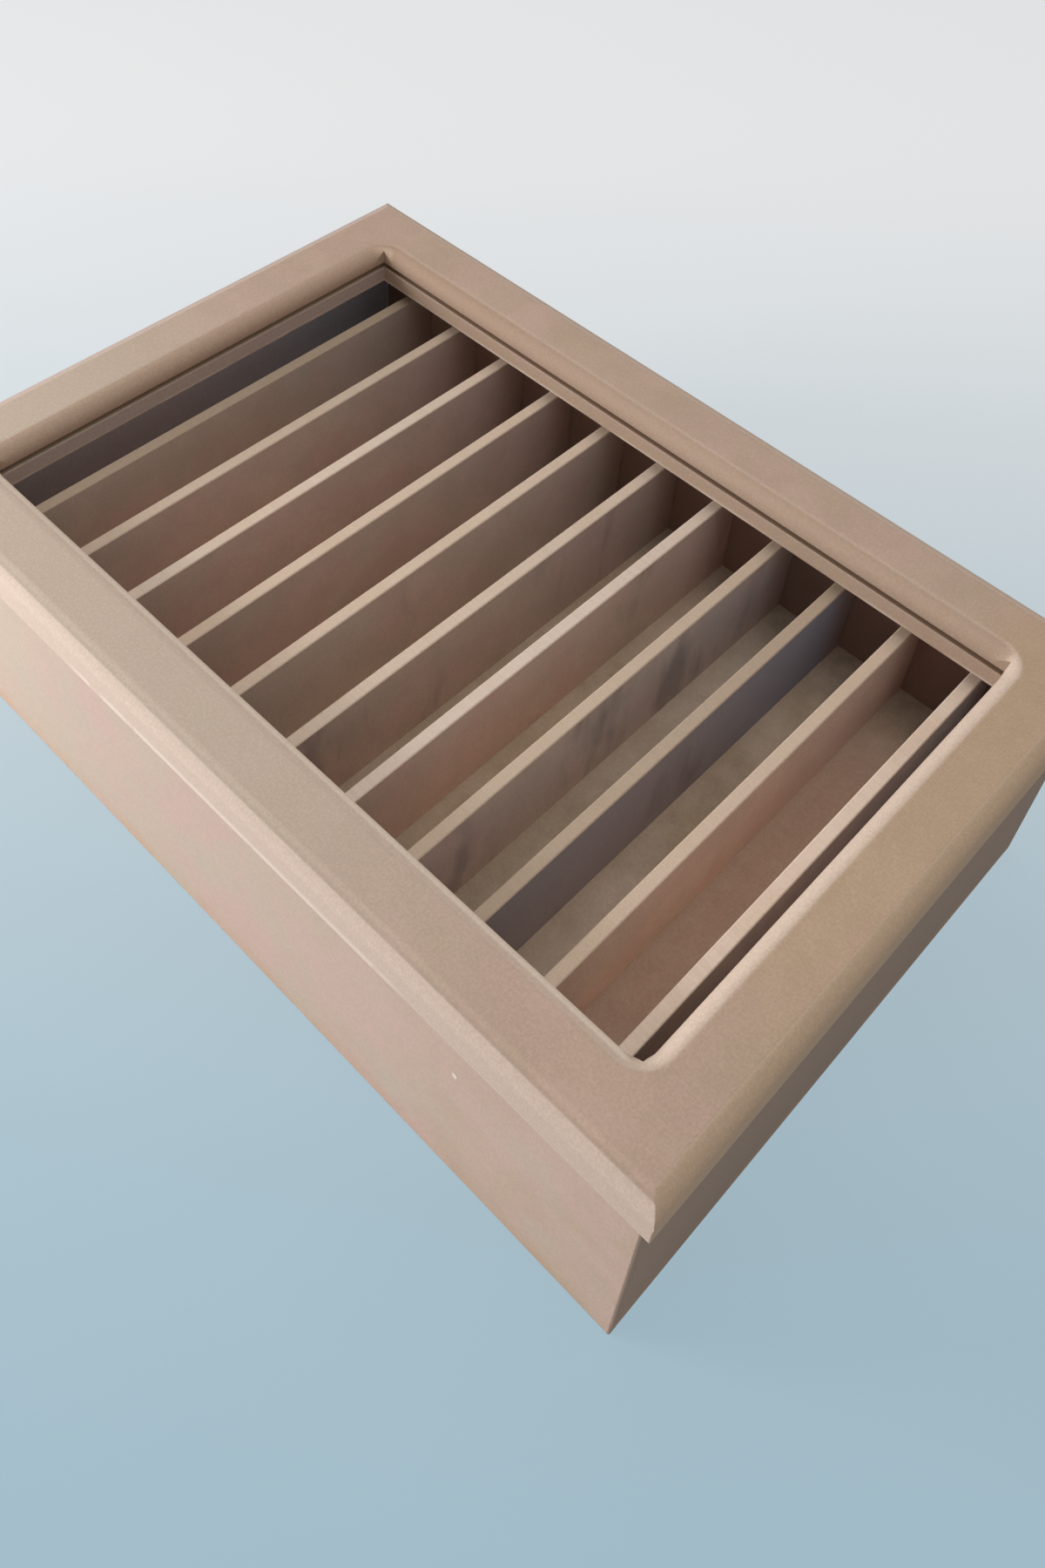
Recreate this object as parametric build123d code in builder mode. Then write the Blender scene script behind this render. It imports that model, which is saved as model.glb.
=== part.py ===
from build123d import *
import os

os.makedirs("parts", exist_ok=True)

# A prayer bead box of raw MDF, in millimetres.
# The origin is the middle of the underside, +Z is up and the long front side faces -Y.
# Two bodies: the box with its compartments, and a framed lid that lifts straight off.

# Driving dimensions of the box body
body_length = 293.0
body_width = 196.0
body_height = 82.0
wall_thickness = 6.0
arris = 0.4
corner_rebate_depth = 3.0

# Floor of the compartments, let into grooves in the four walls
floor_thickness = 4.0
floor_drop = 40.0
groove_depth = 2.5
panel_clearance = 0.15

# Base panel that closes the underside, let in just above the lower edge
base_thickness = 4.0
base_recess = 2.0

# Dividers, housed in upright grooves in the long walls
divider_count = 11
divider_thickness = 4.0
divider_drop = 6.0
divider_arris = 0.3
housing_depth = 2.0
housing_clearance = 0.1

# Lid, glued up from two window frames
lid_overhang = 3.5
lid_rail_width = 23.0
lid_top_thickness = 6.0
lid_bottom_thickness = 8.0
router_bit_radius = 5.0
router_bearing_radius = 5.0

# Slot round the window that takes a clear sheet
pane_slot_height = 2.2
pane_slot_depth = 4.0

# Battens under the lid that keep it from sliding about
batten_width = 6.0
batten_height = 4.0
batten_clearance = 0.5

# Places worked out from those sizes
inner_length = body_length - 2 * wall_thickness
inner_width = body_width - 2 * wall_thickness
floor_top = body_height - floor_drop
floor_bottom = floor_top - floor_thickness
panel_grooves = ((base_recess, base_thickness), (floor_bottom, floor_thickness))
rebate_web = wall_thickness - corner_rebate_depth
short_wall_length = body_width - 2 * rebate_web
compartment_length = (inner_length - divider_count * divider_thickness) / (divider_count + 1)
divider_pitch = compartment_length + divider_thickness
divider_top = body_height - divider_drop
housing_width = divider_thickness + 2 * housing_clearance
lid_length = body_length + 2 * lid_overhang
lid_width = body_width + 2 * lid_overhang
window_length = lid_length - 2 * lid_rail_width
window_width = lid_width - 2 * lid_rail_width
lid_joint_height = body_height + lid_bottom_thickness


def save(piece, name):
    piece.part.label = name
    export_step(piece.part, f"parts/{name}.step")


# Base panel
panel_length = inner_length + 2 * (groove_depth - panel_clearance)
panel_width = inner_width + 2 * (groove_depth - panel_clearance)
with BuildPart() as base_panel:
    with BuildSketch(Plane.XY.offset(base_recess)):
        Rectangle(panel_length, panel_width)
    extrude(amount=base_thickness)
save(base_panel, "base_panel")

# Floor of the compartments
with BuildPart() as floor_panel:
    with BuildSketch(Plane.XY.offset(floor_bottom)):
        Rectangle(panel_length, panel_width)
    extrude(amount=floor_thickness)
save(floor_panel, "floor_panel")

# Front wall: a full-length board with its end rebates, panel grooves and divider housings
front_outer = -body_width / 2
front_inner = -inner_width / 2
with BuildPart() as front_wall:
    with BuildSketch(Plane.XY):
        with Locations((0, front_outer)):
            Rectangle(body_length, wall_thickness, align=(Align.CENTER, Align.MIN))
    extrude(amount=body_height)
    with BuildSketch(Plane.XY):
        with Locations((-body_length / 2, front_inner)):
            Rectangle(wall_thickness, corner_rebate_depth, align=(Align.MIN, Align.MAX))
        with Locations((body_length / 2, front_inner)):
            Rectangle(wall_thickness, corner_rebate_depth, align=(Align.MAX, Align.MAX))
    extrude(amount=body_height, mode=Mode.SUBTRACT)
    with BuildSketch(Plane.YZ.offset(-body_length / 2)):
        for groove_height, board in panel_grooves:
            with Locations((front_inner, groove_height)):
                Rectangle(groove_depth, board, align=(Align.MAX, Align.MIN))
    extrude(amount=body_length, mode=Mode.SUBTRACT)
    with BuildSketch(Plane.XY.offset(floor_top)):
        with Locations((0, front_inner - housing_depth / 2)):
            with GridLocations(divider_pitch, housing_depth, divider_count, 1):
                Rectangle(housing_width, housing_depth)
    extrude(amount=floor_drop, mode=Mode.SUBTRACT)
    outer_face = front_wall.faces().sort_by(Axis.Y)[0]
    chamfer(outer_face.edges(), length=arris)
save(front_wall, "front_wall")

# Back wall: the front wall seen in a mirror
with BuildPart() as back_wall:
    mirror(front_wall.part, about=Plane.XZ)
save(back_wall, "back_wall")

# Right wall: a short board held in the end rebates of the long ones
with BuildPart() as right_wall:
    with BuildSketch(Plane.XY):
        with Locations((inner_length / 2, 0)):
            Rectangle(wall_thickness, short_wall_length, align=(Align.MIN, Align.CENTER))
    extrude(amount=body_height)
    with BuildSketch(Plane.XZ.offset(-short_wall_length / 2)):
        for groove_height, board in panel_grooves:
            with Locations((inner_length / 2, groove_height)):
                Rectangle(groove_depth, board, align=(Align.MIN, Align.MIN))
    extrude(amount=short_wall_length, mode=Mode.SUBTRACT)
    outer_face = right_wall.faces().sort_by(Axis.X)[-1]
    lower_edge = outer_face.edges().filter_by(Axis.Y).sort_by(Axis.Z)[0]
    chamfer(lower_edge, length=arris)
save(right_wall, "right_wall")

# Left wall: the right wall seen in a mirror
with BuildPart() as left_wall:
    mirror(right_wall.part, about=Plane.YZ)
save(left_wall, "left_wall")

# Dividers, standing on the floor with their ends in the housings
divider_length = inner_width + 2 * (housing_depth - housing_clearance)
divider_height = divider_top - floor_top
first_divider = -(divider_count - 1) / 2 * divider_pitch
for number in range(divider_count):
    divider_place = first_divider + number * divider_pitch
    with BuildPart() as divider:
        with BuildSketch(Plane.XY.offset(floor_top)):
            with Locations((divider_place, 0)):
                Rectangle(divider_thickness, divider_length)
        extrude(amount=divider_height)
        top_edges = divider.faces().sort_by(Axis.Z)[-1].edges().filter_by(Axis.Y)
        chamfer(top_edges, length=divider_arris)
    save(divider, f"divider_{number + 1:02d}")

# Upper frame of the lid, with a window whose corners are cut square. The bearing of the
# rounding bit can't roll into them, so it turns early there and leaves the arris with a
# rounder corner than the window's own, and the square corner cuts up into it.
with BuildPart() as lid_top_frame:
    with BuildSketch(Plane.XY.offset(lid_joint_height)):
        Rectangle(lid_length, lid_width)
        RectangleRounded(window_length, window_width, router_bearing_radius, mode=Mode.SUBTRACT)
    extrude(amount=lid_top_thickness)
    top_face = lid_top_frame.faces().sort_by(Axis.Z)[-1]
    fillet(top_face.edges(), radius=router_bit_radius)
    with BuildSketch(Plane.XY.offset(lid_joint_height)):
        Rectangle(window_length, window_width)
    extrude(amount=lid_top_thickness, mode=Mode.SUBTRACT)
save(lid_top_frame, "lid_top_frame")

# Lower frame of the lid, with the rebate that forms the slot for a clear sheet
with BuildPart() as lid_bottom_frame:
    with BuildSketch(Plane.XY.offset(body_height)):
        Rectangle(lid_length, lid_width)
        Rectangle(window_length, window_width, mode=Mode.SUBTRACT)
    extrude(amount=lid_bottom_thickness)
    with BuildSketch(Plane.XY.offset(lid_joint_height)):
        Rectangle(window_length + 2 * pane_slot_depth, window_width + 2 * pane_slot_depth)
    extrude(amount=-pane_slot_height, mode=Mode.SUBTRACT)
    underside = lid_bottom_frame.faces().sort_by(Axis.Z)[0]
    chamfer(underside.outer_wire().edges(), length=arris)
save(lid_bottom_frame, "lid_bottom_frame")

# Battens under the lid: two long ones, and two short ones between them
batten_reach_length = inner_length - 2 * batten_clearance
batten_reach_width = inner_width - 2 * batten_clearance
with BuildPart() as batten_front:
    with BuildSketch(Plane.XY.offset(body_height)):
        with Locations((0, -batten_reach_width / 2)):
            Rectangle(batten_reach_length, batten_width, align=(Align.CENTER, Align.MIN))
    extrude(amount=-batten_height)
    chamfer(batten_front.faces().sort_by(Axis.Z)[0].edges(), length=arris)
save(batten_front, "lid_batten_front")

with BuildPart() as batten_back:
    mirror(batten_front.part, about=Plane.XZ)
save(batten_back, "lid_batten_back")

short_batten_length = batten_reach_width - 2 * batten_width
with BuildPart() as batten_right:
    with BuildSketch(Plane.XY.offset(body_height)):
        with Locations((batten_reach_length / 2, 0)):
            Rectangle(batten_width, short_batten_length, align=(Align.MAX, Align.CENTER))
    extrude(amount=-batten_height)
    chamfer(batten_right.faces().sort_by(Axis.Z)[0].edges().filter_by(Axis.Y), length=arris)
save(batten_right, "lid_batten_right")

with BuildPart() as batten_left:
    mirror(batten_right.part, about=Plane.YZ)
save(batten_left, "lid_batten_left")
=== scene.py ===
import bpy
import math
from mathutils import Euler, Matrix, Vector
from types import SimpleNamespace


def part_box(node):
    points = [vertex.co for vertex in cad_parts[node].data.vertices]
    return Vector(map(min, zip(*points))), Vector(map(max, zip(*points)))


# The look of a raw fibreboard box: every tone follows from where a surface lies and faces
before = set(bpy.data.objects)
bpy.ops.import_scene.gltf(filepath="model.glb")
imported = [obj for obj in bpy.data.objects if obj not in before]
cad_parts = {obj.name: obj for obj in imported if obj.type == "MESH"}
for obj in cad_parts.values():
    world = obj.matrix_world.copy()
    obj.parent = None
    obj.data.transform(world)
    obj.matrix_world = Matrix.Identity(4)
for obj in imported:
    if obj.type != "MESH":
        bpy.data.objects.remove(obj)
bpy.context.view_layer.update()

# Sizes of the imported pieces, in metres
MM = 0.001
wall_low, wall_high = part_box("front_wall")
rail_low, rail_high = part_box("lid_top_frame")
divider_low, divider_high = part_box("divider_01")
body_half_length = wall_high.x
body_half_width = -wall_low.y
inside_half_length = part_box("right_wall")[0].x
inside_half_width = body_half_width - (wall_high.y - wall_low.y)
divider_top = divider_high.z
divider_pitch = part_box("divider_02")[0].x - divider_low.x
lid_half_length = rail_high.x
lid_half_width = rail_high.y
lid_top = rail_high.z
lid_joint = rail_low.z
lid_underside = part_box("lid_bottom_frame")[0].z
RAIL_WIDTH = 23 * MM
PANE_SLOT_HEIGHT = 2.2 * MM
window_half_length = lid_half_length - RAIL_WIDTH
window_half_width = lid_half_width - RAIL_WIDTH

# Tones of board skin and cut board, as linear colours
SKIN = (0.50, 0.365, 0.290)
SKIN_PINK = (0.53, 0.375, 0.310)
SKIN_OLIVE = (0.47, 0.360, 0.260)
# Painted light on the skin where the window light falls
SKIN_LAMP_LIT = (0.52, 0.430, 0.350)
# Painted warm light on the lid's right rail
WARM_LIGHT_TINT = (1.0, 0.99, 0.87)
CUT_EDGE = (0.60, 0.45, 0.35)
CUT_CORE = (0.42, 0.295, 0.205)
# Rubbed arrises, also the painted highlight along the lid's lower edge
RUBBED_AND_HIGHLIGHT = (0.74, 0.61, 0.51)
# Pale chips, also the painted highlight streak on the lid's front band
NICK_AND_HIGHLIGHT = (0.90, 0.820, 0.740)
SMOKE = (0.17, 0.140, 0.135)

# Tones of the walls
WALL_CREAM = (0.68, 0.545, 0.465)
WALL_CREAM_SHARE = 0.25
WALL_PINK = (0.58, 0.430, 0.375)
WALL_GREY = (0.53, 0.455, 0.375)
# Painted shade on the walls' outer right side
SIDE_WALL_SHADE = (0.33, 0.250, 0.200)
FOOT_ORANGE = (0.52, 0.335, 0.215)
# Painted shade on the walls' inner faces: dark on the long walls, paler on the short ones, cooler toward
# the back
SHADE_DARK = (0.23, 0.135, 0.100)
DIM_WALL = (0.78, 0.670, 0.690)
COOL_WALL_SHADE = (0.62, 0.640, 0.740)

# Tones of the floor and its dust
FLOOR_OLIVE = (0.46, 0.360, 0.255)
FLOOR_RED = (0.50, 0.335, 0.260)
DUST = (0.60, 0.475, 0.36)

# Tones of the dividers
FACE_RED = (0.66, 0.477, 0.400)
FACE_OLIVE = (0.62, 0.508, 0.412)
CHARCOAL = (0.275, 0.255, 0.275)
COOL_CHARCOAL = (0.250, 0.270, 0.335)
FAR_COOL = (0.95, 0.99, 1.06)
SHADE_RED = (0.36, 0.205, 0.140)
# Pale sawn edges, also the painted highlight on the lid's right rail
EDGE_PALE_AND_HIGHLIGHT = (0.78, 0.640, 0.540)
EDGE_TAN = (0.62, 0.480, 0.350)

# Tones of the lid's routed arrises, its slot and its sides
ROUTED = (0.585, 0.460, 0.375)
# Painted shade on the rails that face away from the window light
RAIL_SHADE_TAN = (0.36, 0.255, 0.185)
# Painted light on the lid's front band
BAND_LIGHT = (0.64, 0.510, 0.430)
# Painted shadow of the left rail on the back rail
RAIL_SHADOW = (0.30, 0.195, 0.135)
# Painted shade on the left rail, which faces away from the window light
LEFT_UPPER = (0.51, 0.370, 0.275)
LEFT_LOWER = (0.43, 0.300, 0.220)
LEFT_STRIP = (0.44, 0.345, 0.305)
# Painted shade on the lid's rim and right side
RIM_GREY_SHADE = (0.43, 0.350, 0.325)
SIDE_OLIVE_SHADE = (0.54, 0.400, 0.280)
# Painted highlight along the front rail's inner lip
LIP_HIGHLIGHT = (0.94, 0.800, 0.670)
SLOT_BROWN = (0.30, 0.190, 0.120)
LEFT_SLOT = (0.47, 0.350, 0.250)

# Dividers from left to right: smoke, charcoal, redness, edge paleness, face light level, edge light
# level; both levels are painted light and shade
DIVIDER_LOOKS = (
    (0.10, 0.00, 0.20, 0.10, 0.93, 0.79),
    (0.05, 0.00, 0.75, 0.40, 0.92, 0.93),
    (0.10, 0.00, 0.95, 0.80, 0.93, 0.99),
    (0.15, 0.00, 0.80, 0.40, 0.86, 1.00),
    (0.25, 0.00, 0.45, 0.45, 0.95, 1.00),
    (0.55, 0.10, 0.40, 0.65, 0.90, 0.97),
    (0.35, 0.00, 0.60, 1.00, 1.02, 0.97),
    (0.55, 0.08, 0.35, 0.30, 1.15, 0.91),
    (0.40, 0.90, 0.30, 0.15, 1.08, 0.77),
    (0.20, 0.00, 0.65, 0.35, 1.20, 0.99),
    (0.20, 0.00, 0.00, 0.90, 1.10, 1.09),
)

# Steps that keep the patterns of one divider from repeating on the next
BOARD_STEP = 0.71
SMOKE_STEP = 1.37

# Sheen and fibre relief of bare board
BOARD_IOR = 1.45
BOARD_SPECULAR = 0.28
RELIEF_DEPTH = 0.12 * MM


# Both ends of a soft step in metres, given in millimetres from a place
def span(place_from, start, end):
    return place_from + start * MM, place_from + end * MM


# Soft steps on the walls
# Where the painted window light lies, at the front left
LAMP_LIT_X = span(0, 130, -10)
LAMP_LIT_Y = span(0, 70, -80)
# Where painted shade darkens the walls toward the left
DIMMER_X = span(0, 110, -60)
INNER_FACE_X = span(inside_half_length, 2, 1)
INNER_FACE_Y = span(inside_half_width, 2, 1)
SIDE_WALL_X = span(inside_half_length, -1, -0.2)
COOLER_Y = span(0, -20, 80)
LONG_WALL_Y = span(inside_half_width, 2.8, 3.2)
RIGHT_SIDE_X = span(body_half_length, -2, -1)
FOOT_Z = span(0, 12, 0.5)

# Soft steps on the floor
DUSTY_BESIDE_DIVIDER = span(0, 3, 9)
DUSTY_END_Y = span(inside_half_width, -12, 0)
RED_FROM_X = span(0, 96, 97)
RED_TO_X = span(0, 116, 106)
RED_Y = span(0, 90, 45)
FLOOR_SHADE_END_Y = span(inside_half_width, -24, 0)

# Soft steps on the dividers
TOWARD_FAR_Y = span(0, -10, 85)
SHADED_END_Y = span(inside_half_width, -16, -2)
ALONG_Y = span(0, -70, 80)
TOWARD_TOP_Z = span(divider_top, -26, 0)

# Soft steps on the lid
# Where the painted warm light lies on the right rail
WARM_LIT_X = span(0, 110, 128)
WARM_LIT_Y = span(0, -85, -20)
SHADED_FAR_LEFT_X = span(0, -40, -135)
SHADED_FAR_LEFT_Y = span(0, -80, 60)
WINDOW_X = span(lid_half_length, -9, -10)
WINDOW_Y = span(lid_half_width, -9, -10)
# How far the painted shadow of the left rail reaches along the back rail
RAIL_SHADOW_X = span(0, 40, -125)
UPPER_BOARD = span(0, -0.3, 0.1)
LEFT_STRIP_BELOW = span(0, 0, -0.3)
SLOT_ROOF = span(0, 0.3, -0.05)
SLOT_SILL = span(-PANE_SLOT_HEIGHT, -0.3, 0.05)
BEHIND_RAIL_X = span(window_half_length, 0.2, 0.6)
BEHIND_RAIL_Y = span(window_half_width, 0.2, 0.6)
LEFT_SLOT_X = span(-window_half_length, 0, -0.3)
GLUE_LINE = span(0, 0.22, 0.06)
JOINT_ARRIS = span(0, 1.1, 0.8)
LOWER_ARRIS_Z = span(lid_underside, 1.3, 0.3)
# Where the painted highlight streak lies on the front band
HIGHLIGHT_STREAK_FROM_X = span(0, -62, -46)
HIGHLIGHT_STREAK_TO_X = span(0, 80, 64)
HIGHLIGHT_STREAK_Z = span(lid_underside, 3.6, 1.8)

# Soft steps in how far a face looks along an axis, where 1 is squarely along it
SQUARE_ON = (0.80, 0.95)
DIVIDER_EDGE_UP = (0.35, 0.65)
ROUTING_STARTS = (0.002, 0.014)
LIP_ROUTING_STARTS = (0.03, 0.12)
RAIL_LOOKS_LEFT = (-0.05, -0.50)
RAIL_LOOKS_AWAY = (0.0, 0.35)
RAIL_LOOKS_RIGHT = (0.05, 0.35)
RAIL_TURNS_DOWN = (0.85, 0.10)
RIM_LOOKS_LEFT = (-0.05, -0.40)
RIM_LOOKS_UP = (0.10, 0.45)
SIDE_LOOKS_RIGHT = (0.01, 0.25)
LIP_LOOKS_BACK = (0.20, 0.60)
LIP_STAYS_STRAIGHT = (0.30, 0.02)
BAND_LOOKS_FRONT = (0.0, -0.15)
BAND_TURNS_OVER = (0.0, 0.12)
BAND_STEP = (0.87, 0.80)
BAND_TURNS_DOWN = (0.80, 0.10)
GLUE_UPRIGHT = (0.6, 0.9)
LOWER_ARRIS_UPRIGHT = (0.3, 0.7)


# Small helpers that place nodes and return their output sockets
def add(tree, kind, **settings):
    node = tree.nodes.new(kind)
    for key, value in settings.items():
        setattr(node, key, value)
    return node


def feed(tree, socket, value):
    if isinstance(value, bpy.types.NodeSocket):
        tree.links.new(value, socket)
    elif isinstance(value, (tuple, list)) and socket.type == "RGBA":
        socket.default_value = (*value[:3], 1.0)
    else:
        socket.default_value = value


def maths(tree, operation, *values, clamp=False):
    node = add(tree, "ShaderNodeMath", operation=operation, use_clamp=clamp)
    for socket, value in zip(node.inputs, values):
        feed(tree, socket, value)
    return node.outputs[0]


def chained(tree, operation, first, others):
    for other in others:
        first = maths(tree, operation, first, other)
    return first


def times(tree, first, *others):
    return chained(tree, "MULTIPLY", first, others)


def plus(tree, first, *others):
    return chained(tree, "ADD", first, others)


def most(tree, first, *others):
    return chained(tree, "MAXIMUM", first, others)


def less(tree, value, taken):
    return maths(tree, "SUBTRACT", value, taken)


def over(tree, value, divisor):
    return maths(tree, "DIVIDE", value, divisor)


def size_of(tree, value):
    return maths(tree, "ABSOLUTE", value)


def vector_maths(tree, operation, first, second, output=0):
    node = add(tree, "ShaderNodeVectorMath", operation=operation)
    feed(tree, node.inputs[0], first)
    feed(tree, node.inputs[1], second)
    return node.outputs[output]


def scaled(tree, vector, factors):
    return vector_maths(tree, "MULTIPLY", vector, factors)


def shifted(tree, vector, offset):
    return vector_maths(tree, "ADD", vector, offset)


def split(tree, vector):
    node = add(tree, "ShaderNodeSeparateXYZ")
    feed(tree, node.inputs[0], vector)
    return node.outputs


def ramp(tree, value, start, end, low=0.0, high=1.0):
    node = add(tree, "ShaderNodeMapRange", interpolation_type="SMOOTHSTEP")
    feed(tree, node.inputs["Value"], value)
    feed(tree, node.inputs["From Min"], start)
    feed(tree, node.inputs["From Max"], end)
    feed(tree, node.inputs["To Min"], low)
    feed(tree, node.inputs["To Max"], high)
    return node.outputs["Result"]


def noise(tree, vector, scale, detail=2.0, roughness=0.5, output="Fac"):
    node = add(tree, "ShaderNodeTexNoise")
    feed(tree, node.inputs["Vector"], vector)
    feed(tree, node.inputs["Scale"], scale)
    feed(tree, node.inputs["Detail"], detail)
    feed(tree, node.inputs["Roughness"], roughness)
    return node.outputs[output]


def blended(tree, factor, first, second, blend_type="MIX"):
    node = add(tree, "ShaderNodeMix", data_type="RGBA", blend_type=blend_type)
    feed(tree, node.inputs["Factor"], factor)
    feed(tree, node.inputs["A"], first)
    feed(tree, node.inputs["B"], second)
    return next(socket for socket in node.outputs if socket.type == "RGBA")


# A tone laid over a colour where a mask says so, at a share of full strength
def tinted(tree, colour, tone, mask, share):
    return blended(tree, times(tree, mask, share), colour, tone)


def dimmed(tree, colour, level):
    grey = add(tree, "ShaderNodeCombineColor")
    for channel in grey.inputs:
        feed(tree, channel, level)
    return blended(tree, 1.0, colour, grey.outputs[0], "MULTIPLY")


# A normal between two others, from the pair of sockets that the node keeps for vectors
def blended_normals(tree, factor, first, second):
    node = add(tree, "ShaderNodeMix", data_type="VECTOR")
    ends = [socket for socket in node.inputs if socket.type == "VECTOR" and socket.name in "AB"]
    feed(tree, node.inputs["Factor"], factor)
    feed(tree, ends[0], first)
    feed(tree, ends[1], second)
    return next(socket for socket in node.outputs if socket.type == "VECTOR")


def normal_of(tree):
    return add(tree, "ShaderNodeNewGeometry").outputs["Normal"]


def new_group(name, inputs, outputs):
    tree = bpy.data.node_groups.new(name, "ShaderNodeTree")
    for label, kind, value in inputs:
        socket = tree.interface.new_socket(label, in_out="INPUT", socket_type=kind)
        if value is not None:
            socket.default_value = value
    for label, kind in outputs:
        tree.interface.new_socket(label, in_out="OUTPUT", socket_type=kind)
    return tree, add(tree, "NodeGroupInput").outputs, add(tree, "NodeGroupOutput").inputs


def place(tree, group, **values):
    node = add(tree, "ShaderNodeGroup", node_tree=group)
    for label, value in values.items():
        feed(tree, node.inputs[label.replace("_", " ")], value)
    return node.outputs


FLOAT = "NodeSocketFloat"
VECTOR = "NodeSocketVector"
COLOUR_CHANNELS = 3


# Fibres: short pale and dark flecks pressed flat in every direction
def make_fibres():
    tree, given, out = new_group(
        "fibreboard_fibres",
        [("Position", VECTOR, None), ("Fleck Size", FLOAT, 0.8 * MM)],
        [("Fleck", FLOAT), ("Height", FLOAT)],
    )
    density = over(tree, 1.0, given["Fleck Size"])
    grain = noise(tree, given["Position"], density, detail=4.0, roughness=0.65)
    along = 0.35
    across = 1.5
    long_x = noise(tree, scaled(tree, given["Position"], (along, across, across)), density)
    long_y = noise(tree, scaled(tree, given["Position"], (across, along, across)), density)
    long_z = noise(tree, scaled(tree, given["Position"], (across, across, along)), density)
    fibres = most(tree, long_x, long_y, long_z)
    both = plus(tree, times(tree, grain, 0.55), times(tree, fibres, 0.45))
    feed(tree, out["Fleck"], ramp(tree, both, 0.40, 0.68))
    feed(tree, out["Height"], both)
    return tree


# Patches: slow drifts of tone across a board
def make_patches():
    tree, given, out = new_group(
        "board_tone_patches",
        [("Position", VECTOR, None), ("Patch Size", FLOAT, 45 * MM)],
        [("Pink", FLOAT), ("Olive", FLOAT), ("Shade", FLOAT)],
    )
    density = over(tree, 1.0, given["Patch Size"])
    pink_spot = shifted(tree, given["Position"], (0.31, 0.17, 0.05))
    olive_spot = shifted(tree, given["Position"], (0.83, 0.42, 0.66))
    pink = noise(tree, pink_spot, density, detail=3.0, roughness=0.55)
    olive = noise(tree, olive_spot, density, detail=3.0, roughness=0.55)
    finer = times(tree, density, 2.3)
    shade = noise(tree, given["Position"], finer, detail=4.0, roughness=0.6)
    feed(tree, out["Pink"], ramp(tree, pink, 0.42, 0.66))
    feed(tree, out["Olive"], ramp(tree, olive, 0.46, 0.70))
    feed(tree, out["Shade"], ramp(tree, shade, 0.30, 0.72))
    return tree


# Arris: where two faces meet, the edge is rubbed soft and a little paler
def make_arris():
    tree, given, out = new_group(
        "rubbed_arris",
        [("Position", VECTOR, None), ("Radius", FLOAT, 0.6 * MM), ("Evenness", FLOAT, 0.5)],
        [("Rub", FLOAT), ("Normal", VECTOR)],
    )
    soft = add(tree, "ShaderNodeBevel", samples=6)
    feed(tree, soft.inputs["Radius"], given["Radius"])
    soft_normal = soft.outputs["Normal"]
    turn = vector_maths(tree, "DOT_PRODUCT", soft_normal, normal_of(tree), output="Value")
    edge = ramp(tree, turn, 0.999, 0.80)
    wear = noise(tree, given["Position"], scale=90.0, detail=5.0, roughness=0.7)
    uneven = times(tree, ramp(tree, wear, 0.35, 0.62), less(tree, 1.0, given["Evenness"]))
    share = plus(tree, given["Evenness"], uneven)
    feed(tree, out["Rub"], maths(tree, "MULTIPLY", edge, share, clamp=True))
    feed(tree, out["Normal"], soft_normal)
    return tree


# Saw marks: fine uneven lines square to the cut
def make_saw_marks():
    tree, given, out = new_group(
        "saw_marks",
        [("Position", VECTOR, None), ("Spacing", FLOAT, 0.9 * MM)],
        [("Mark", FLOAT), ("Height", FLOAT)],
    )
    density = over(tree, 1.0, given["Spacing"])
    drawn_out = scaled(tree, given["Position"], (0.04, 1.0, 0.04))
    lines = noise(tree, drawn_out, density, detail=3.0, roughness=0.6)
    drift = ramp(tree, noise(tree, given["Position"], scale=60.0), 0.30, 0.65, low=0.35)
    feed(tree, out["Mark"], times(tree, ramp(tree, lines, 0.40, 0.66), drift))
    feed(tree, out["Height"], lines)
    return tree


# Smoke: dark upright blotches that a laser or saw leaves on thin board
def make_smoke():
    tree, given, out = new_group(
        "smoke_blotches",
        [("Position", VECTOR, None), ("Amount", FLOAT, 0.5), ("Seed", FLOAT, 0.0)],
        [("Stain", FLOAT)],
    )
    offset = add(tree, "ShaderNodeCombineXYZ")
    feed(tree, offset.inputs["X"], given["Seed"])
    spot = shifted(tree, given["Position"], offset.outputs[0])
    cloud_spot = scaled(tree, spot, (0.2, 1.0, 0.45))
    wisp_spot = scaled(tree, spot, (0.2, 1.0, 0.22))
    clouds = noise(tree, cloud_spot, scale=38.0, detail=3.0, roughness=0.55)
    wisps = noise(tree, wisp_spot, scale=130.0, detail=3.0, roughness=0.6)
    both = plus(tree, times(tree, clouds, 0.75), times(tree, wisps, 0.25))
    edge = less(tree, 0.74, times(tree, given["Amount"], 0.42))
    feed(tree, out["Stain"], ramp(tree, both, edge, plus(tree, edge, 0.16)))
    return tree


# Density: a pressed board is close and smooth at its skins and open at its core
def make_density():
    tree, given, out = new_group(
        "board_density",
        [("Depth", FLOAT, 0.0), ("Thickness", FLOAT, 6 * MM)],
        [("Core", FLOAT)],
    )
    share = over(tree, given["Depth"], given["Thickness"])
    from_middle = size_of(tree, less(tree, share, 0.5))
    feed(tree, out["Core"], ramp(tree, from_middle, 0.44, 0.22))
    return tree


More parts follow.
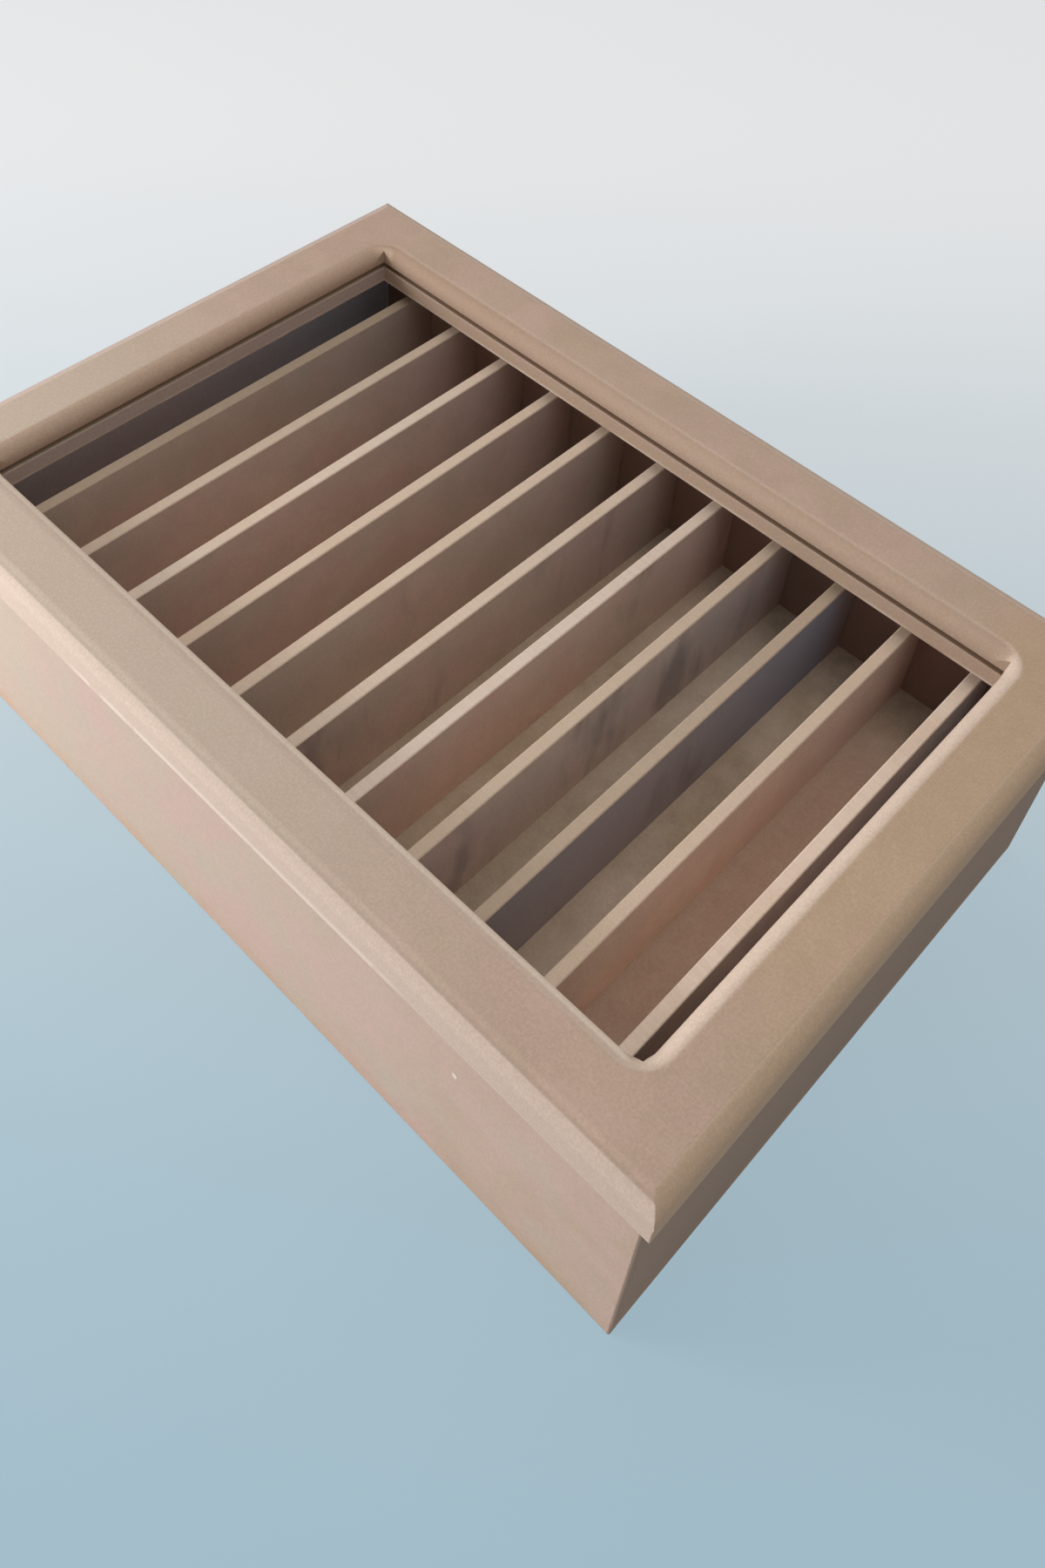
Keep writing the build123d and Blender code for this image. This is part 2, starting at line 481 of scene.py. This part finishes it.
# Dust: fine board dust that settles on what faces up, thickest near walls
def make_dust():
    tree, given, out = new_group(
        "settled_dust",
        [("Position", VECTOR, None), ("Nearness", FLOAT, 0.0), ("Amount", FLOAT, 0.4)],
        [("Dust", FLOAT), ("Height", FLOAT)],
    )
    drifts = noise(tree, given["Position"], scale=120.0, detail=5.0, roughness=0.7)
    grains = noise(tree, given["Position"], scale=1500.0, roughness=0.7)
    swept = times(tree, given["Nearness"], 0.35)
    lying = plus(tree, swept, times(tree, given["Amount"], 0.30))
    cover = ramp(tree, plus(tree, drifts, lying), 0.62, 0.95)
    feed(tree, out["Dust"], times(tree, cover, ramp(tree, grains, 0.30, 0.60, low=0.45)))
    feed(tree, out["Height"], grains)
    return tree


# Nicks: a few small chips where the skin is broken and the pale inside shows
def make_nicks():
    tree, given, out = new_group(
        "pale_nicks",
        [("Position", VECTOR, None), ("Spacing", FLOAT, 34 * MM)],
        [("Nick", FLOAT)],
    )
    density = over(tree, 1.0, given["Spacing"])
    jag = noise(tree, given["Position"], scale=900.0, output="Color")
    jag_size = (1.4 * MM,) * COLOUR_CHANNELS
    ragged = shifted(tree, given["Position"], scaled(tree, jag, jag_size))
    cells = add(tree, "ShaderNodeTexVoronoi", feature="F1")
    feed(tree, cells.inputs["Vector"], ragged)
    feed(tree, cells.inputs["Scale"], density)
    chosen = ramp(tree, split(tree, cells.outputs["Color"])[0], 0.62, 0.66)
    chip = ramp(tree, cells.outputs["Distance"], 0.030, 0.018)
    feed(tree, out["Nick"], times(tree, chip, chosen))
    return tree


FIBRES = make_fibres()
PATCHES = make_patches()
ARRIS = make_arris()
SAW_MARKS = make_saw_marks()
SMOKE_BLOTCHES = make_smoke()
DENSITY = make_density()
SETTLED_DUST = make_dust()
PALE_NICKS = make_nicks()


# A bare material: its tree, its shader, and where a surface lies and faces
def new_material(name):
    material = bpy.data.materials.new(name)
    material.use_nodes = True
    tree = material.node_tree
    tree.nodes.clear()
    shader = add(tree, "ShaderNodeBsdfPrincipled")
    surface = add(tree, "ShaderNodeOutputMaterial")
    tree.links.new(shader.outputs["BSDF"], surface.inputs["Surface"])
    shader.inputs["IOR"].default_value = BOARD_IOR
    shader.inputs["Specular IOR Level"].default_value = BOARD_SPECULAR
    where = add(tree, "ShaderNodeTexCoord")
    return material, tree, shader, where.outputs["Object"], where.outputs["Normal"]


# Colour, roughness and fibre relief of a board, fed to its shader
def finished(tree, shader, fibres, colour, height, normal, roughness, strength=0.35):
    bump = add(tree, "ShaderNodeBump")
    bump.inputs["Strength"].default_value = strength
    bump.inputs["Distance"].default_value = RELIEF_DEPTH
    feed(tree, bump.inputs["Height"], height)
    feed(tree, bump.inputs["Normal"], normal)
    feed(tree, shader.inputs["Base Color"], colour)
    feed(tree, shader.inputs["Roughness"], ramp(tree, fibres["Fleck"], 0.0, 1.0, *roughness))
    feed(tree, shader.inputs["Normal"], bump.outputs["Normal"])


# The skin of a pressed board: base tone, with drifts of pink and olive
def board_skin(tree, position, base, pink, olive, patch_size):
    tones = place(tree, PATCHES, Position=position, Patch_Size=patch_size)
    small = place(tree, PATCHES, Position=position, Patch_Size=patch_size * 0.3)
    colour = tinted(tree, base, pink, tones["Pink"], share=0.85)
    colour = tinted(tree, colour, pink, small["Pink"], share=0.45)
    colour = tinted(tree, colour, olive, tones["Olive"], share=0.70)
    colour = tinted(tree, colour, olive, small["Olive"], share=0.45)
    return dimmed(tree, colour, ramp(tree, tones["Shade"], 0.0, 1.0, 0.96, 1.03))


# Pale and dark flecks over any tone, given as a share of it
def flecked(tree, colour, fibres, share):
    level = ramp(tree, fibres["Fleck"], 0.0, 1.0, 1.0 - share, 1.0 + share)
    return dimmed(tree, colour, level)


# Painted light: the front left of the outside is paler and cooler, where the window light falls
def with_painted_window_light(tree, colour, position):
    place_x, place_y, _ = split(tree, position)
    along = ramp(tree, place_x, *LAMP_LIT_X, high=0.80)
    share = times(tree, along, ramp(tree, place_y, *LAMP_LIT_Y))
    return blended(tree, share, colour, SKIN_LAMP_LIT)


# Inner faces of the walls in painted shade and a little smoky: dark on the long walls, paler on the
# short ones, turning cooler to the back
def with_inner_faces(tree, colour, position, far_x, far_y):
    _, place_y, _ = split(tree, position)
    inner = times(tree, ramp(tree, far_x, *INNER_FACE_X), ramp(tree, far_y, *INNER_FACE_Y))
    smoky = place(tree, SMOKE_BLOTCHES, Position=position, Amount=0.45, Seed=0.7)
    side_wall = ramp(tree, far_x, *SIDE_WALL_X)
    cooler_shade = times(tree, ramp(tree, place_y, *COOLER_Y), side_wall)
    inner_tone = blended(tree, side_wall, SHADE_DARK, DIM_WALL)
    inner_tone = blended(tree, cooler_shade, inner_tone, COOL_WALL_SHADE)
    inner_tone = tinted(tree, inner_tone, SMOKE, smoky["Stain"], share=0.35)
    return tinted(tree, colour, inner_tone, inner, share=0.90)


# Walls, with rubbed outer arrises, cut ends, painted shade on the inner faces and the right side, and
# painted light at the front left
def wall_board():
    material, tree, shader, position, normal = new_material("sanded_wall_board")
    fibres = place(tree, FIBRES, Position=position)
    colour = board_skin(tree, position, SKIN, SKIN_PINK, SKIN_OLIVE, patch_size=52 * MM)
    # Painted light at the front left
    colour = with_painted_window_light(tree, colour, position)
    colour = blended(tree, WALL_CREAM_SHARE, colour, WALL_CREAM)
    mottle = place(tree, PATCHES, Position=position, Patch_Size=30 * MM)
    colour = tinted(tree, colour, WALL_PINK, mottle["Pink"], share=0.90)
    colour = tinted(tree, colour, WALL_GREY, mottle["Olive"], share=0.90)
    place_x, place_y, place_z = split(tree, position)
    face_x, _, face_z = split(tree, normal)
    # Painted shade: the walls a little darker toward the left
    colour = dimmed(tree, colour, ramp(tree, place_x, *DIMMER_X, low=1.0, high=0.94))
    far_y = size_of(tree, place_y)
    colour = with_inner_faces(tree, colour, position, size_of(tree, place_x), far_y)

    end_face = ramp(tree, size_of(tree, face_x), *SQUARE_ON)
    cut_end = times(tree, end_face, ramp(tree, far_y, *LONG_WALL_Y))
    cut = most(tree, cut_end, ramp(tree, face_z, *SQUARE_ON))
    saw = place(tree, SAW_MARKS, Position=position, Spacing=1.1 * MM)
    cut_tone = blended(tree, saw["Mark"], CUT_CORE, CUT_EDGE)
    colour = tinted(tree, colour, cut_tone, cut, share=0.85)

    looks_right = ramp(tree, face_x, *SQUARE_ON)
    # Painted shade on the outer right side
    shaded_right_side = times(tree, looks_right, ramp(tree, place_x, *RIGHT_SIDE_X))
    colour = tinted(tree, colour, SIDE_WALL_SHADE, shaded_right_side, share=0.90)
    stains = noise(tree, position, scale=45.0, detail=4.0, roughness=0.6)
    foot = times(tree, ramp(tree, place_z, *FOOT_Z), ramp(tree, stains, 0.35, 0.65, low=0.30))
    colour = tinted(tree, colour, FOOT_ORANGE, foot, share=0.55)

    colour = flecked(tree, colour, fibres, share=0.06)
    nicks = place(tree, PALE_NICKS, Position=position)
    colour = tinted(tree, colour, NICK_AND_HIGHLIGHT, nicks["Nick"], share=0.80)
    arris = place(tree, ARRIS, Position=position, Radius=0.8 * MM, Evenness=0.35)
    colour = tinted(tree, colour, RUBBED_AND_HIGHLIGHT, arris["Rub"], share=0.42)
    finished(tree, shader, fibres, colour, fibres["Height"], arris["Normal"], roughness=(0.74, 0.88))
    return material


# Floor and base: duller board with dust along the walls, and painted shade toward the back end
def floor_board():
    material, tree, shader, position, _ = new_material("dusty_floor_board")
    fibres = place(tree, FIBRES, Position=position)
    colour = board_skin(tree, position, FLOOR_OLIVE, FACE_OLIVE, FLOOR_OLIVE, patch_size=38 * MM)
    place_x, place_y, _ = split(tree, position)
    far_y = size_of(tree, place_y)
    pitches_to_left = 20
    from_left = plus(tree, place_x, pitches_to_left * divider_pitch)
    along = maths(tree, "MODULO", from_left, divider_pitch)
    off_middle = size_of(tree, less(tree, along, divider_pitch / 2))
    near_divider = ramp(tree, off_middle, *DUSTY_BESIDE_DIVIDER)
    near = most(tree, near_divider, ramp(tree, far_y, *DUSTY_END_Y))
    red_length = times(tree, ramp(tree, place_x, *RED_FROM_X), ramp(tree, place_x, *RED_TO_X))
    reddened = times(tree, red_length, ramp(tree, far_y, *RED_Y))
    colour = tinted(tree, colour, FLOOR_RED, reddened, share=0.85)
    # Painted shade toward the back end, under the lid's rail
    colour = dimmed(tree, colour, ramp(tree, place_y, *FLOOR_SHADE_END_Y, low=1.0, high=0.62))
    dust = place(tree, SETTLED_DUST, Position=position, Nearness=near, Amount=0.35)
    colour = tinted(tree, colour, DUST, dust["Dust"], share=0.45)
    colour = flecked(tree, colour, fibres, share=0.06)
    height = plus(tree, fibres["Height"], times(tree, dust["Height"], dust["Dust"]))
    finished(tree, shader, fibres, colour, height, normal_of(tree), roughness=(0.80, 0.93), strength=0.4)
    return material


# One divider: brown smoky faces and a pale sawn top edge, with painted shade at the ends and painted
# light and shade along and up its faces and edge
def divider_board(number, smoke_share, charcoal_share, redness, paleness, face_light_level, edge_light_level):
    material, tree, shader, position, normal = new_material(f"thin_divider_board_{number:02d}")
    own_position = shifted(tree, position, (0.0, 0.0, number * BOARD_STEP))
    face_tone = blended(tree, redness, FACE_OLIVE, FACE_RED)
    fibres = place(tree, FIBRES, Position=own_position)
    colour = board_skin(tree, own_position, face_tone, FACE_RED, FACE_OLIVE, patch_size=34 * MM)
    _, place_y, place_z = split(tree, position)
    toward_far = ramp(tree, place_y, *TOWARD_FAR_Y)
    charcoal = blended(tree, toward_far, CHARCOAL, COOL_CHARCOAL)
    colour = blended(tree, charcoal_share, colour, charcoal)
    colour = blended(tree, toward_far, colour, FAR_COOL, "MULTIPLY")
    seed = number * SMOKE_STEP
    smoke = place(tree, SMOKE_BLOTCHES, Position=position, Amount=smoke_share, Seed=seed)
    colour = tinted(tree, colour, SMOKE, smoke["Stain"], share=0.50)
    shaded_end = ramp(tree, size_of(tree, place_y), *SHADED_END_Y)
    colour = tinted(tree, colour, SHADE_RED, shaded_end, share=0.45)
    # Painted shade toward the back, painted light low on the face and painted shade near its top, at the
    # divider's own painted light level
    shade_toward_back = ramp(tree, place_y, *ALONG_Y, low=1.04, high=0.88)
    light_by_height = ramp(tree, place_z, *TOWARD_TOP_Z, low=1.16, high=0.94)
    colour = dimmed(tree, colour, times(tree, shade_toward_back, light_by_height, face_light_level))

    saw = place(tree, SAW_MARKS, Position=position, Spacing=1.3 * MM)
    drift = place(tree, PATCHES, Position=own_position, Patch_Size=30 * MM)
    edge_tone = blended(tree, paleness, EDGE_TAN, EDGE_PALE_AND_HIGHLIGHT)
    edge_tone = tinted(tree, edge_tone, CUT_EDGE, saw["Mark"], share=0.25)
    edge_tone = tinted(tree, edge_tone, EDGE_TAN, drift["Olive"], share=0.40)
    edge_tone = tinted(tree, edge_tone, CUT_CORE, fibres["Fleck"], share=0.12)
    # Painted shade toward the back of the edge, at the divider's own painted light level
    edge_shade_toward_back = ramp(tree, place_y, *ALONG_Y, low=1.06, high=0.91)
    edge_tone = dimmed(tree, edge_tone, times(tree, edge_shade_toward_back, edge_light_level))
    top_edge = ramp(tree, split(tree, normal)["Z"], *DIVIDER_EDGE_UP)
    colour = blended(tree, top_edge, colour, edge_tone)
    colour = flecked(tree, colour, fibres, share=0.06)
    height = plus(tree, fibres["Height"], times(tree, saw["Height"], top_edge))
    arris = place(tree, ARRIS, Position=position, Radius=0.4 * MM, Evenness=0.5)
    finished(tree, shader, fibres, colour, height, arris["Normal"], roughness=(0.76, 0.90))
    return material


# Where a point of the lid lies, how it faces, and whether it belongs to the window's side
def lid_point(tree, position, normal):
    x, y, z = split(tree, position)
    face_x, face_y, face_z = split(tree, normal)
    window_x = ramp(tree, size_of(tree, x), *WINDOW_X)
    window_y = ramp(tree, size_of(tree, y), *WINDOW_Y)
    return SimpleNamespace(
        x=x,
        y=y,
        z=z,
        face_x=face_x,
        face_y=face_y,
        face_z=face_z,
        upright=less(tree, 1.0, size_of(tree, face_z)),
        above_joint=less(tree, z, lid_joint),
        window=times(tree, window_x, window_y),
    )


# The lid's sanded skin, with painted warm light to the right and a little painted shade to the far left
def lid_skin(tree, position, at):
    colour = board_skin(tree, position, SKIN, SKIN_PINK, SKIN_OLIVE, patch_size=40 * MM)
    # Painted light at the front left
    colour = with_painted_window_light(tree, colour, position)
    # Painted warm light on the right rail
    warm_lit = times(tree, ramp(tree, at.x, *WARM_LIT_X), ramp(tree, at.y, *WARM_LIT_Y))
    colour = blended(tree, warm_lit, colour, WARM_LIGHT_TINT, "MULTIPLY")
    # Painted shade, a little darker to the far left
    far_left_shade = times(tree, ramp(tree, at.x, *SHADED_FAR_LEFT_X), ramp(tree, at.y, *SHADED_FAR_LEFT_Y))
    return dimmed(tree, colour, less(tree, 1.0, times(tree, far_left_shade, 0.04)))


# Board where it has been cut, with its open core showing in the middle of each thickness
def cut_board(tree, fibres, at):
    above_underside = less(tree, at.z, lid_underside)
    top_board = place(tree, DENSITY, Depth=at.above_joint, Thickness=lid_top - lid_joint)
    low_board = place(tree, DENSITY, Depth=above_underside, Thickness=lid_joint - lid_underside)
    core = most(tree, top_board["Core"], low_board["Core"])
    routed = tinted(tree, ROUTED, CUT_CORE, core, share=0.08)
    return tinted(tree, routed, CUT_EDGE, fibres["Fleck"], share=0.15)


# The rails round the window, each painted with the light and shade that reach it: a painted highlight on
# the right rail, painted shade on the back and left rails, and a painted shadow of the left rail on the
# back rail's left part
def with_window_rails(tree, routed, at):
    # Painted highlight on the right rail, which faces the light
    right_rail = times(tree, at.window, ramp(tree, at.face_x, *RAIL_LOOKS_LEFT))
    routed = tinted(tree, routed, EDGE_PALE_AND_HIGHLIGHT, right_rail, share=0.35)
    # Painted shade on the rails that face away from the light
    away = ramp(tree, less(tree, at.face_x, at.face_y), *RAIL_LOOKS_AWAY)
    shaded_rail = times(tree, at.window, away)
    routed = tinted(tree, routed, RAIL_SHADE_TAN, shaded_rail, share=0.85)
    # Painted shadow of the left rail on the back rail's left part
    back_rail_shadow = ramp(tree, at.x, *RAIL_SHADOW_X, high=0.55)
    upper_board = ramp(tree, at.above_joint, *UPPER_BOARD, low=0.35)
    routed = blended(tree, times(tree, shaded_rail, back_rail_shadow, upper_board), routed, RAIL_SHADOW)
    # Painted shade on the left rail: darker as it turns down, greyer on the lower board's strip
    left_rail = times(tree, at.window, ramp(tree, at.face_x, *RAIL_LOOKS_RIGHT))
    turned_down = ramp(tree, at.face_z, *RAIL_TURNS_DOWN)
    below_joint = ramp(tree, at.above_joint, *LEFT_STRIP_BELOW)
    left_rail_shade = blended(tree, turned_down, LEFT_UPPER, LEFT_LOWER)
    left_rail_shade = blended(tree, below_joint, left_rail_shade, LEFT_STRIP)
    return blended(tree, left_rail, routed, left_rail_shade)


# The outer rim of the lid: a greyer painted shade where it looks left and up, and an olive painted shade
# on the right side
def with_outer_rim(tree, routed, at):
    looks_left = ramp(tree, plus(tree, at.face_x, at.window), *RIM_LOOKS_LEFT)
    shaded_left_rim = times(tree, looks_left, ramp(tree, at.face_z, *RIM_LOOKS_UP))
    routed = tinted(tree, routed, RIM_GREY_SHADE, shaded_left_rim, share=0.90)
    shaded_right_side = ramp(tree, less(tree, at.face_x, at.window), *SIDE_LOOKS_RIGHT)
    return tinted(tree, routed, SIDE_OLIVE_SHADE, shaded_right_side, share=0.95)


# The band along the front: a step from the skin that turns over in painted shade to the side below,
# which is painted light, paler as it stands upright
def with_front_band(tree, routed, at, skin, front_band):
    over_shade_level = ramp(tree, at.upright, *BAND_TURNS_OVER, low=1.0, high=0.80)
    down_light_level = ramp(tree, at.face_z, *BAND_TURNS_DOWN, low=0.86, high=0.96)
    turned_over = dimmed(tree, skin, over_shade_level)
    turned_down = dimmed(tree, BAND_LIGHT, down_light_level)
    band_light_and_shade = blended(tree, ramp(tree, at.face_z, *BAND_STEP), turned_over, turned_down)
    return blended(tree, front_band, routed, band_light_and_shade)


# The shadowed inside of the slot for a clear sheet
def with_slot(tree, colour, at):
    below_roof = ramp(tree, at.above_joint, *SLOT_ROOF)
    above_sill = ramp(tree, at.above_joint, *SLOT_SILL)
    behind_x = ramp(tree, size_of(tree, at.x), *BEHIND_RAIL_X)
    behind_y = ramp(tree, size_of(tree, at.y), *BEHIND_RAIL_Y)
    behind = most(tree, behind_x, behind_y)
    in_slot = times(tree, below_roof, above_sill, behind, at.window)
    slot_tone = blended(tree, ramp(tree, at.x, *LEFT_SLOT_X), SLOT_BROWN, LEFT_SLOT)
    return blended(tree, in_slot, colour, slot_tone)


# The glue line between the two boards, broken here and there
def with_glue_line(tree, colour, position, at):
    line = ramp(tree, size_of(tree, at.above_joint), *GLUE_LINE)
    upright = ramp(tree, at.upright, *GLUE_UPRIGHT)
    breaks = noise(tree, position, scale=70.0, detail=4.0, roughness=0.6)
    glue = times(tree, line, upright, ramp(tree, breaks, 0.38, 0.60, low=0.25))
    return tinted(tree, colour, CUT_CORE, glue, share=0.05)


# Wear along the lid's lower edge, with a painted highlight there too, and a painted highlight streak on
# the front band
def with_lower_wear_and_highlight(tree, colour, position, at, front_band):
    low_edge = ramp(tree, at.z, *LOWER_ARRIS_Z)
    worn_and_lit = ramp(tree, noise(tree, position, scale=26.0, detail=3.0, roughness=0.6), 0.40, 0.58)
    upright = ramp(tree, at.upright, *LOWER_ARRIS_UPRIGHT)
    # Rubbed wear and painted highlight along the lower edge
    colour = tinted(tree, colour, RUBBED_AND_HIGHLIGHT, times(tree, low_edge, worn_and_lit, upright), share=0.55)
    # Painted highlight streak along the left half of the front band
    length = times(tree, ramp(tree, at.x, *HIGHLIGHT_STREAK_FROM_X), ramp(tree, at.x, *HIGHLIGHT_STREAK_TO_X))
    highlight_breaks = ramp(tree, noise(tree, position, scale=60.0, detail=3.0, roughness=0.6), 0.36, 0.50)
    highlight_streak = times(tree, length, highlight_breaks, front_band, ramp(tree, at.z, *HIGHLIGHT_STREAK_Z))
    return tinted(tree, colour, NICK_AND_HIGHLIGHT, highlight_streak, share=0.36)


# Lid frames: sanded top, routed arrises, cut sides with a glue line between the boards
def lid_board():
    material, tree, shader, position, normal = new_material("routed_lid_board")
    at = lid_point(tree, position, normal)
    fibres = place(tree, FIBRES, Position=position)
    skin = lid_skin(tree, position, at)
    routed = cut_board(tree, fibres, at)
    routed = with_window_rails(tree, routed, at)
    routed = with_outer_rim(tree, routed, at)
    # Painted highlight along the front rail's inner lip
    straight = ramp(tree, size_of(tree, at.face_x), *LIP_STAYS_STRAIGHT)
    front_lip = times(tree, at.window, ramp(tree, at.face_y, *LIP_LOOKS_BACK), straight)
    routed = tinted(tree, routed, LIP_HIGHLIGHT, front_lip, share=0.90)
    front_band = ramp(tree, plus(tree, at.face_y, at.window), *BAND_LOOKS_FRONT)
    routed = with_front_band(tree, routed, at, skin, front_band)
    routing = ramp(tree, at.upright, *ROUTING_STARTS)
    lip_routing = ramp(tree, at.upright, *LIP_ROUTING_STARTS)
    routing = blended(tree, front_lip, routing, lip_routing)
    colour = tinted(tree, skin, routed, routing, share=0.92)
    colour = with_slot(tree, colour, at)
    colour = with_glue_line(tree, colour, position, at)
    colour = flecked(tree, colour, fibres, share=0.065)

    arris = place(tree, ARRIS, Position=position, Radius=0.7 * MM, Evenness=0.4)
    by_joint = ramp(tree, size_of(tree, at.above_joint), *JOINT_ARRIS)
    at_joint = times(tree, by_joint, less(tree, 1.0, at.window))
    rub = times(tree, arris["Rub"], less(tree, 1.0, at_joint))
    colour = tinted(tree, colour, RUBBED_AND_HIGHLIGHT, rub, share=0.40)
    colour = with_lower_wear_and_highlight(tree, colour, position, at, front_band)
    turned = blended_normals(tree, at_joint, arris["Normal"], normal_of(tree))
    finished(tree, shader, fibres, colour, fibres["Height"], turned, roughness=(0.72, 0.86))
    return material


def dress(node_name, material):
    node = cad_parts[node_name]
    node.data.materials.clear()
    node.data.materials.append(material)


WALL_BOARD = wall_board()
FLOOR_BOARD = floor_board()
LID_BOARD = lid_board()
for wall in ("front_wall", "back_wall", "left_wall", "right_wall"):
    dress(wall, WALL_BOARD)
for panel in ("floor_panel", "base_panel"):
    dress(panel, FLOOR_BOARD)
for count, look in enumerate(DIVIDER_LOOKS, start=1):
    dress(f"divider_{count:02d}", divider_board(count, *look))
for piece in ("lid_top_frame", "lid_bottom_frame"):
    dress(piece, LID_BOARD)
for side in ("front", "back", "left", "right"):
    dress(f"lid_batten_{side}", LID_BOARD)

# Stage: one pale floor, cooler near the viewer and whiter further off
STAGE_REACH = 6.0
STAGE_NEAR = (0.365, 0.515, 0.60)
STAGE_FAR = (0.81, 0.825, 0.835)
STAGE_BOUNCE = (0.52, 0.51, 0.50)
STAGE_GLOW = 0.80
STAGE_ROUGHNESS = 0.95
STAGE_SPECULAR = 0.1
AWAY_X = 0.69
AWAY_Y = 0.72
AWAY_SPAN = (-0.26, 0.42)
SEEN_RAYS = ("Is Camera Ray", "Is Glossy Ray", "Is Transmission Ray")


# One where the picture sees a surface itself, and zero where it only throws light
def seen_itself(tree):
    ray = add(tree, "ShaderNodeLightPath")
    return most(tree, *[ray.outputs[kind] for kind in SEEN_RAYS])


def stage_paper():
    material, tree, shader, position, _ = new_material("pale_stage_paper")
    place_x, place_y, _ = split(tree, position)
    away = less(tree, times(tree, place_y, AWAY_Y), times(tree, place_x, AWAY_X))
    colour = blended(tree, ramp(tree, away, *AWAY_SPAN), STAGE_NEAR, STAGE_FAR)
    seen = seen_itself(tree)
    feed(tree, shader.inputs["Base Color"], blended(tree, seen, STAGE_BOUNCE, colour))
    shader.inputs["Roughness"].default_value = STAGE_ROUGHNESS
    shader.inputs["Specular IOR Level"].default_value = STAGE_SPECULAR
    glow = add(tree, "ShaderNodeEmission")
    feed(tree, glow.inputs["Color"], colour)
    glow.inputs["Strength"].default_value = 1.0
    both = add(tree, "ShaderNodeMixShader")
    feed(tree, both.inputs["Fac"], times(tree, seen, STAGE_GLOW))
    tree.links.new(shader.outputs["BSDF"], both.inputs[1])
    tree.links.new(glow.outputs["Emission"], both.inputs[2])
    surface = next(node for node in tree.nodes if node.type == "OUTPUT_MATERIAL")
    tree.links.new(both.outputs["Shader"], surface.inputs["Surface"])
    return material


stage_mesh = bpy.data.meshes.new("stage_floor")
stage_corners = [
    (-STAGE_REACH, -STAGE_REACH, 0),
    (STAGE_REACH, -STAGE_REACH, 0),
    (STAGE_REACH, STAGE_REACH, 0),
    (-STAGE_REACH, STAGE_REACH, 0),
]
stage_mesh.from_pydata(stage_corners, [], [(0, 1, 2, 3)])
stage_mesh.materials.append(stage_paper())
stage_floor = bpy.data.objects.new("stage_floor", stage_mesh)
bpy.context.scene.collection.objects.link(stage_floor)


# Light: a large soft window to the front left, a soft ceiling and a weak even sky
def make_soft_light(name, spot, aim, size, watts, colour):
    lamp = bpy.data.lights.new(name, "AREA")
    lamp.shape = "SQUARE"
    lamp.size = size
    lamp.energy = watts
    lamp.color = colour
    holder = bpy.data.objects.new(name, lamp)
    bpy.context.scene.collection.objects.link(holder)
    holder.location = spot
    holder.visible_camera = False
    holder.rotation_euler = (Vector(aim) - Vector(spot)).to_track_quat("-Z", "Y").to_euler()


make_soft_light(
    "window_light",
    spot=(-0.54, -0.52, 0.28),
    aim=(0.0, 0.0, 0.06),
    size=0.32,
    watts=5.8,
    colour=(1.0, 1.0, 1.0),
)
make_soft_light(
    "ceiling_light",
    spot=(0.0, 0.0, 1.30),
    aim=(0.0, 0.0, 0.0),
    size=1.2,
    watts=5.0,
    colour=(1.0, 0.975, 0.95),
)

SKY_TONE = (1.0, 0.96, 0.92)
SKY_STRENGTH = 0.40
world = bpy.data.worlds.new("even_sky")
bpy.context.scene.world = world
world.use_nodes = True
sky = world.node_tree
sky.nodes.clear()
sky_seen = seen_itself(sky)
sky_light = add(sky, "ShaderNodeBackground")
sky_light.inputs["Color"].default_value = (*SKY_TONE, 1.0)
sky_light.inputs["Strength"].default_value = SKY_STRENGTH
sky_view = add(sky, "ShaderNodeBackground")
sky_view.inputs["Color"].default_value = (*STAGE_FAR, 1.0)
sky_view.inputs["Strength"].default_value = 1.0
sky_mix = add(sky, "ShaderNodeMixShader")
sky_out = add(sky, "ShaderNodeOutputWorld")
sky.links.new(sky_seen, sky_mix.inputs["Fac"])
sky.links.new(sky_light.outputs[0], sky_mix.inputs[1])
sky.links.new(sky_view.outputs[0], sky_mix.inputs[2])
sky.links.new(sky_mix.outputs[0], sky_out.inputs["Surface"])

# Camera, placed as the photograph was taken: above the near right corner, looking down
CAMERA_PLACE = (0.1884, -0.2068, 0.4052)
CAMERA_TURN_DEGREES = (45.48, -3.31, 43.64)
SENSOR_WIDTH = 36.0
LENS_LENGTH = 33.5
LENS_SHIFT = -0.20
NEAREST_SEEN = 0.01
FARTHEST_SEEN = 30.0
camera_data = bpy.data.cameras.new("photo_camera")
camera_data.sensor_width = SENSOR_WIDTH
camera_data.lens = LENS_LENGTH
camera_data.shift_y = LENS_SHIFT
camera_data.clip_start = NEAREST_SEEN
camera_data.clip_end = FARTHEST_SEEN
camera = bpy.data.objects.new("photo_camera", camera_data)
camera.location = CAMERA_PLACE
camera.rotation_euler = Euler([math.radians(angle) for angle in CAMERA_TURN_DEGREES], "XYZ")
bpy.context.scene.collection.objects.link(camera)
bpy.context.scene.camera = camera
bpy.context.scene.view_settings.view_transform = "Standard"
